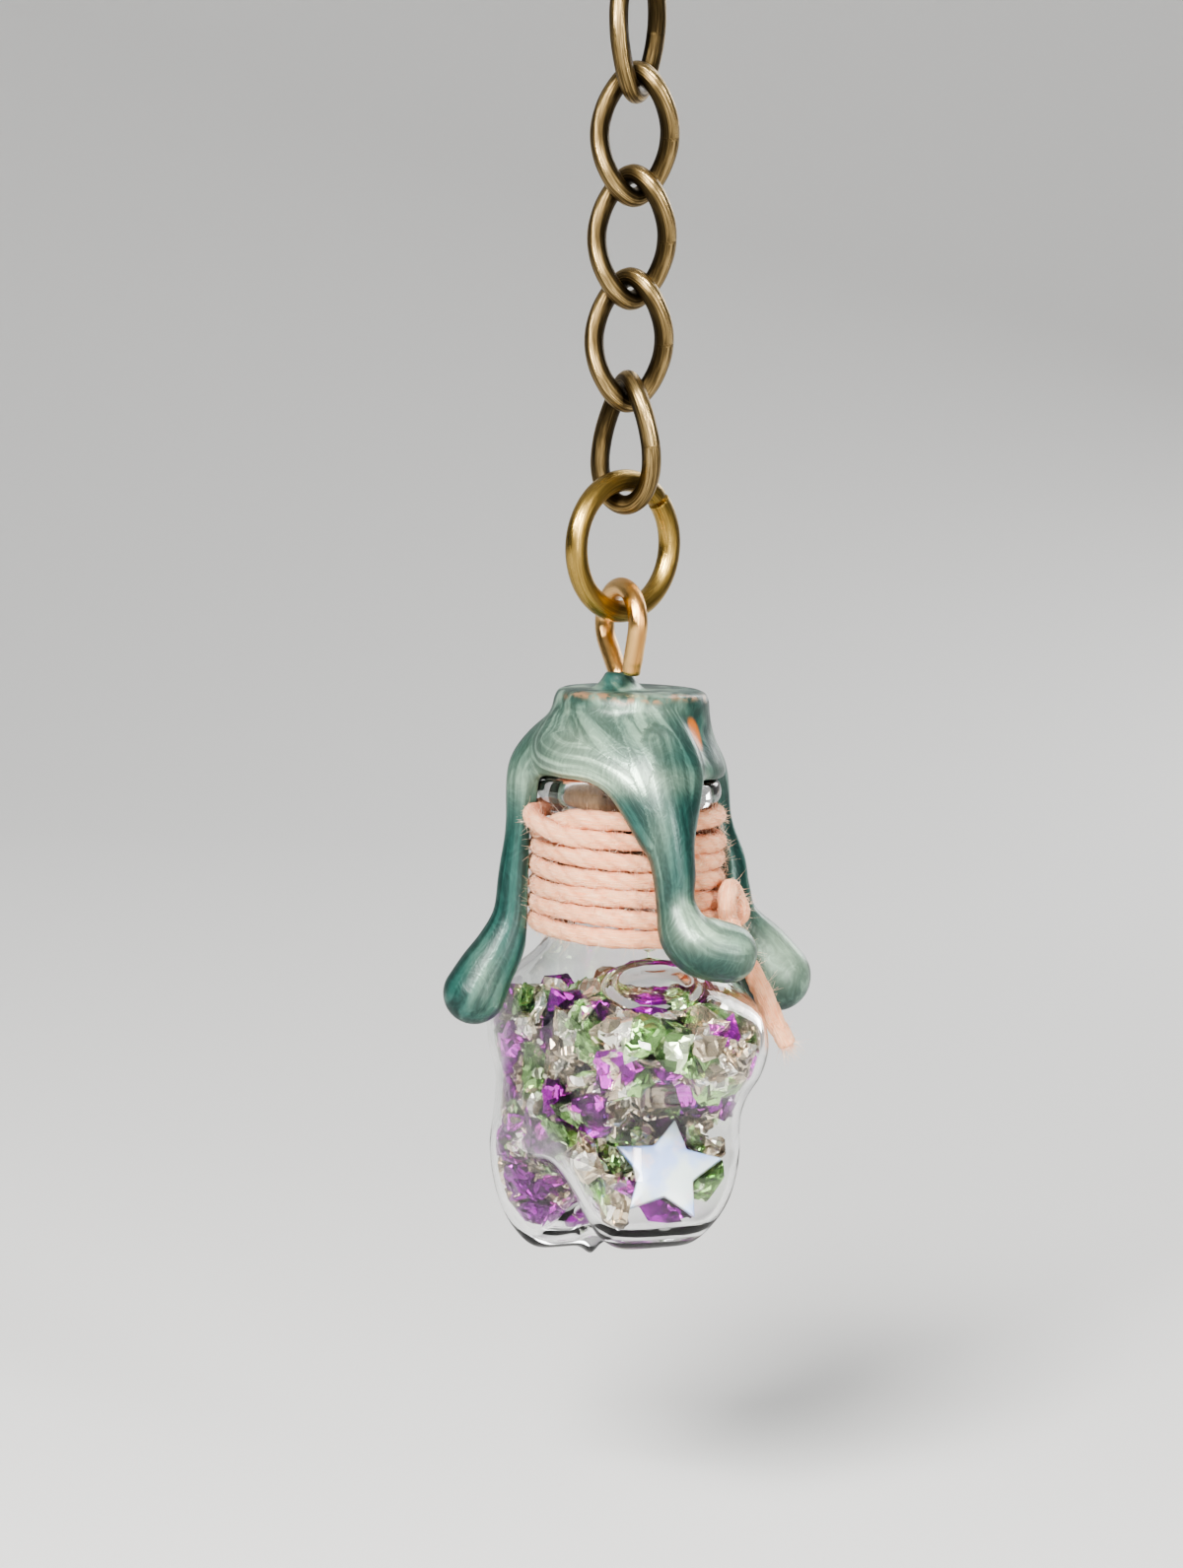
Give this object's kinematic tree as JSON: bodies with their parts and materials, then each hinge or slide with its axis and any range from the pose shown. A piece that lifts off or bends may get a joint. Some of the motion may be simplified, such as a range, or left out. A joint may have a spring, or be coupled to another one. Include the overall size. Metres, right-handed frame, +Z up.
{
  "type": "bottle pendant",
  "caption": "Small star-shaped glass bottle of foil chips, closed with cork and green wax and wound with cord, hanging from a ring and a curb chain.",
  "frame": {"origin": "the hanging point, at the inside top of the top chain link", "axes": "+Z up, with the pendant hanging down from the origin; the flat face of the star bottle looks along -Y and its arms spread along X"},
  "size_m": [0.0204, 0.0204, 0.0737],
  "materials": {
    "antique_brass": "aged, worn bright on the outside",
    "brass_wire": "satin",
    "gold_wire": "polished",
    "cork": "matte",
    "clear_glass": "clear, polished",
    "green_wax": "soft pearl",
    "cotton_cord": "matte twisted cotton",
    "purple_foil": "crumpled foil",
    "green_foil": "crumpled foil",
    "silver_foil": "crumpled foil",
    "pale_plastic": "milky, opal"
  },
  "bodies": {
    "chain": {"chain_link_1": "antique_brass", "chain_link_2": "antique_brass", "chain_link_3": "antique_brass", "chain_link_4": "antique_brass", "chain_link_5": "antique_brass", "jump_ring": "brass_wire"},
    "bottle": {"screw_eye": "gold_wire", "cork": "cork", "glass_bottle": "clear_glass", "wax_seal": "green_wax", "cord_winding": "cotton_cord", "cord_knot": "cotton_cord", "cord_tail": "cotton_cord", "chips_purple": "purple_foil", "chips_green": "green_foil", "chips_silver": "silver_foil", "star_charm": "pale_plastic"}
  },
  "joints": [
    {"name": "bottle_swing", "type": "hinge", "parent": "chain", "child": "bottle", "pos_m": [0, 0, -0.03522], "axis": [-0.2924, 0.9563, 0], "range_deg": [-80, 80]}
  ]
}
